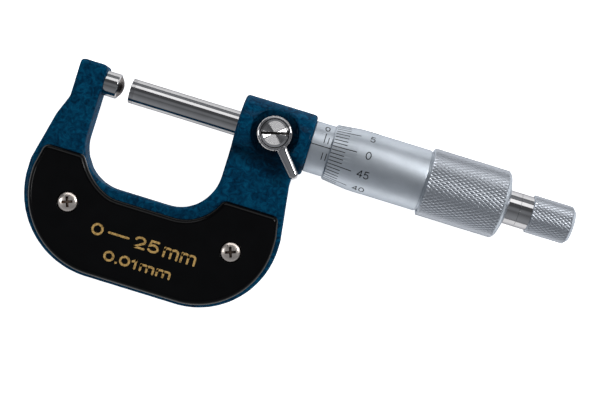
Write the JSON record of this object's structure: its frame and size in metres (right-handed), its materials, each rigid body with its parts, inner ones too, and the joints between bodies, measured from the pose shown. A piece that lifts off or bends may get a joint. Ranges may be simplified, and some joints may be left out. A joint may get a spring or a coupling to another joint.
{
  "type": "outside micrometer",
  "caption": "Outside micrometer with a bow frame, domed anvil, screw-fed spindle, bevelled thimble, ratchet stop, lever lock and moulded grip plates.",
  "frame": {"origin": "crown of the anvil's measuring face, on the measuring axis", "axes": "+X along the spindle from the anvil to the ratchet, +Y from the bow to the measuring axis, +Z out of the face with the lock lever"},
  "size_m": [0.1374, 0.0578, 0.0192],
  "materials": {
    "bow_paint": "glossy hammer-tone enamel",
    "plate_plastic": "glossy moulded",
    "nickel_screws": "bright nickel plate",
    "ground_steel": "ground and polished",
    "hard_metal": "lapped",
    "inner_steel": "turned, oiled",
    "satin_chrome": "satin chrome plate",
    "shoe_brass": "turned",
    "lock_chrome": "polished chrome plate"
  },
  "bodies": {
    "frame": {"frame": "bow_paint", "front_plate": "plate_plastic", "back_plate": "plate_plastic", "front_plate_screws": "nickel_screws", "back_plate_screws": "nickel_screws", "anvil": "ground_steel", "anvil_tip": "hard_metal", "threaded_sleeve": "inner_steel", "graduated_sleeve": "satin_chrome", "adjusting_nut": "inner_steel", "lock_washer": "inner_steel"},
    "measuring_tip": {"spindle_tip": "hard_metal"},
    "thimble": {"spindle": "ground_steel", "thimble": "satin_chrome", "ratchet_stem": "satin_chrome", "ratchet_washer": "nickel_screws", "ratchet_screw": "nickel_screws"},
    "ratchet_knob": {"ratchet_knob": "satin_chrome", "ratchet_spring": "inner_steel"},
    "ratchet_pawl": {"ratchet_pawl": "inner_steel"},
    "lock_lever": {"lock_lever": "lock_chrome", "lock_stud": "inner_steel", "lock_screw": "lock_chrome"},
    "lock_shoe": {"lock_shoe": "shoe_brass"}
  },
  "joints": [
    {"name": "spindle_feed", "type": "slide", "parent": "frame", "child": "measuring_tip", "axis": [1, 0, 0], "range_m": [-0.00199, 0.02301]},
    {"name": "thimble_turn", "type": "hinge", "parent": "measuring_tip", "child": "thimble", "pos_m": [0, 0, 0], "axis": [1, 0, 0], "range_deg": [-1433, 16568]},
    {"name": "ratchet_turn", "type": "hinge", "parent": "thimble", "child": "ratchet_knob", "pos_m": [0.11, 0, 0], "axis": [1, 0, 0], "continuous": true},
    {"name": "pawl_click", "type": "slide", "parent": "ratchet_knob", "child": "ratchet_pawl", "axis": [-1, 0, 0], "range_m": [0, 0.00035]},
    {"name": "lock_turn", "type": "hinge", "parent": "frame", "child": "lock_lever", "pos_m": [0.0408, 0, 0.007], "axis": [0, 0, 1], "range_deg": [-75, 0]},
    {"name": "lock_press", "type": "slide", "parent": "frame", "child": "lock_shoe", "axis": [0, 0, -1], "range_m": [0, 0.000104]}
  ],
  "couplings": [
    {"joint": "thimble_turn", "follows": "spindle_feed", "rad_per_m": 12566},
    {"joint": "lock_turn", "follows": "lock_press", "rad_per_m": -12566}
  ]
}
